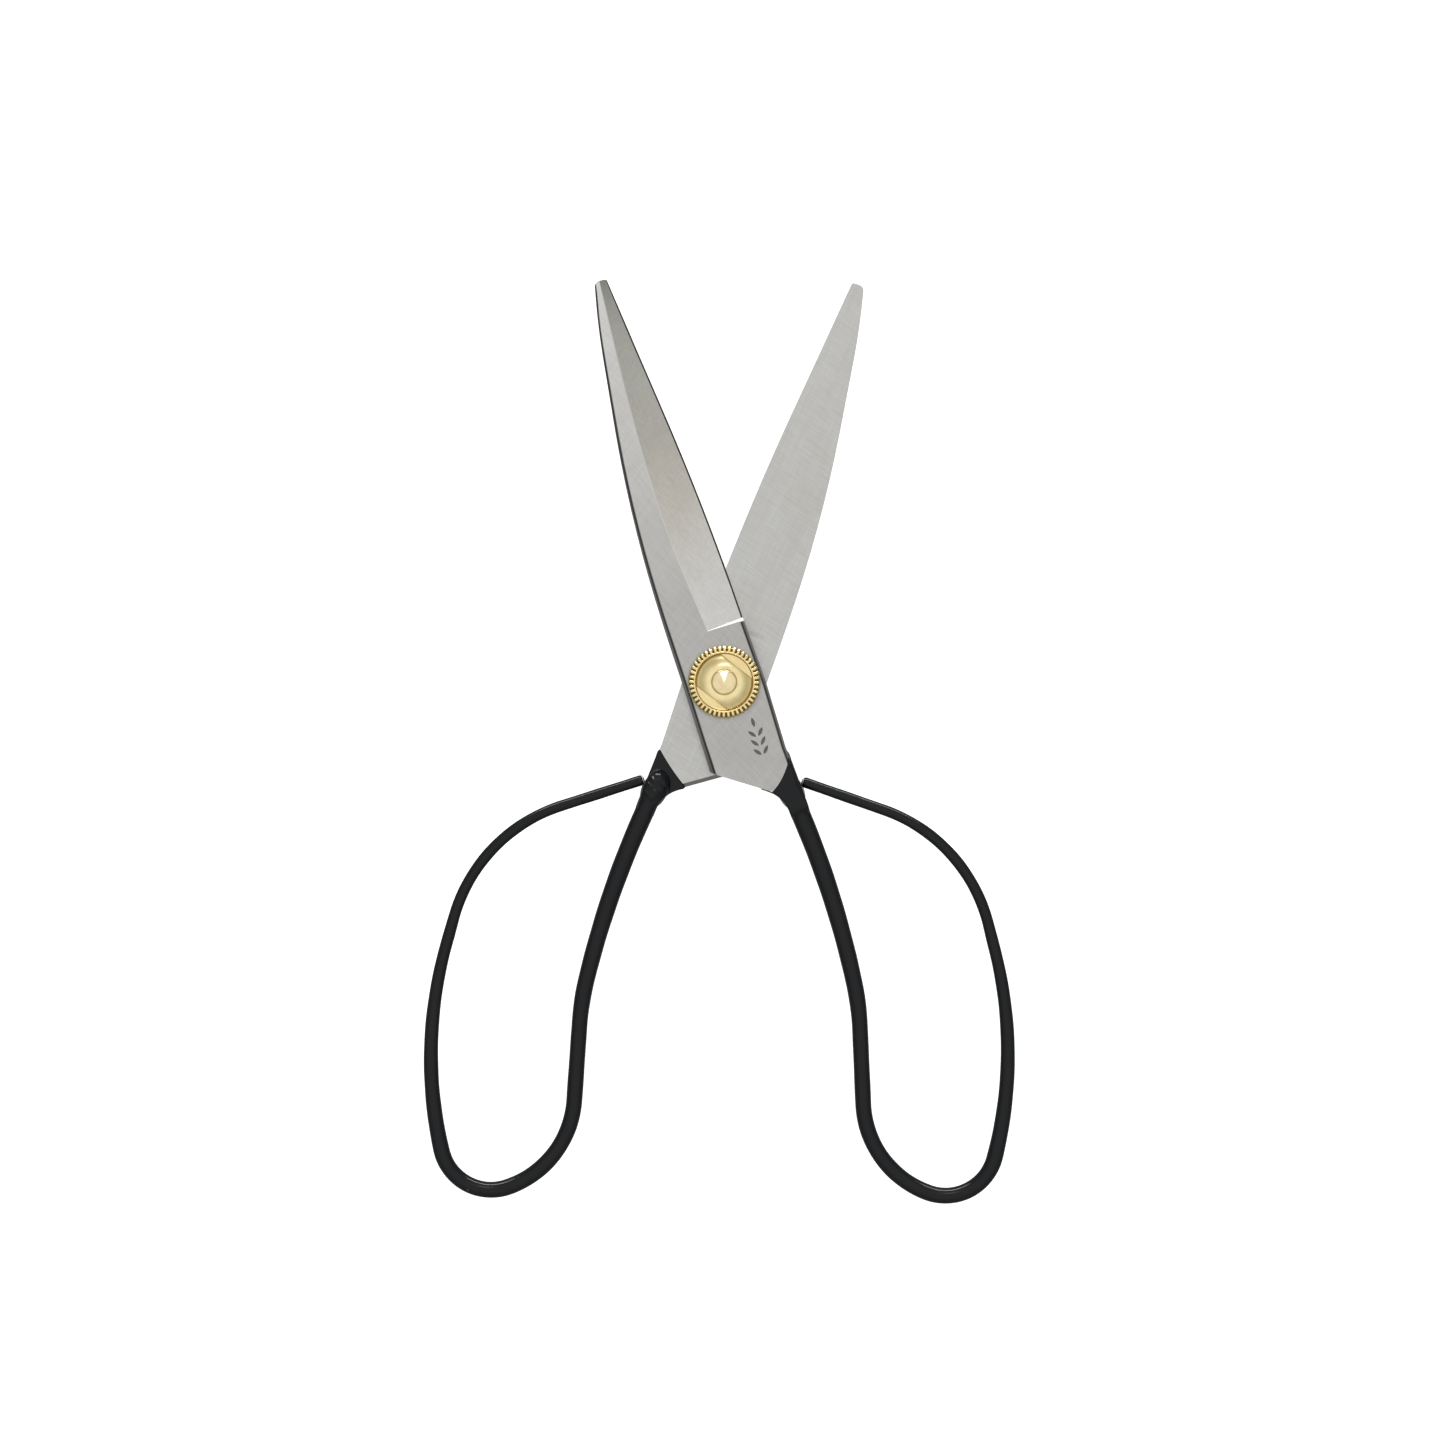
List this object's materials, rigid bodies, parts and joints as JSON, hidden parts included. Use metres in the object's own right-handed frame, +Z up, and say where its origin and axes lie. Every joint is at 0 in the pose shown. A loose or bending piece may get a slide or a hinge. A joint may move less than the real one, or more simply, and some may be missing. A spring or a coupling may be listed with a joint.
{
  "type": "floral snips",
  "caption": "Florist's shears with long bevelled blades, a knurled brass pivot and thin bow handles dipped in black.",
  "frame": {"origin": "on the pivot axis, at the flat tail of the rivet that the snips lie on", "axes": "+Z up along the pivot axis, towards the knurled dial; +Y from the pivot towards the blade tips, midway between the open blades; +X towards the front half's handle"},
  "size_m": [0.1198, 0.1863, 0.0118],
  "materials": {
    "blade_steel": "ground steel with fine crossed grinding lines",
    "rod_steel": "drawn steel, under the coating",
    "weld_steel": "rough weld bead, under the coating",
    "black_coating": "dipped black vinyl, semi-gloss",
    "brass": "turned and polished brass"
  },
  "bodies": {
    "front_half": {"front_blade": "blade_steel", "front_handle_rod": "rod_steel", "front_neck_weld": "weld_steel", "front_handle_coating": "black_coating"},
    "rear_half": {"rear_blade": "blade_steel", "rear_handle_rod": "rod_steel", "rear_neck_weld": "weld_steel", "rear_handle_coating": "black_coating"},
    "pivot_stack": {"pivot_rivet": "brass", "knurled_dial": "brass", "bow_spring": "brass", "rear_washer": "brass"}
  },
  "joints": [
    {"name": "blade_pivot", "type": "hinge", "parent": "front_half", "child": "rear_half", "pos_m": [0, 0, 0.00529], "axis": [0, 0, 1], "range_deg": [-90, 34.9]},
    {"name": "pivot_turn", "type": "hinge", "parent": "front_half", "child": "pivot_stack", "pos_m": [0, 0, 0.00529], "axis": [0, 0, 1], "continuous": true}
  ]
}
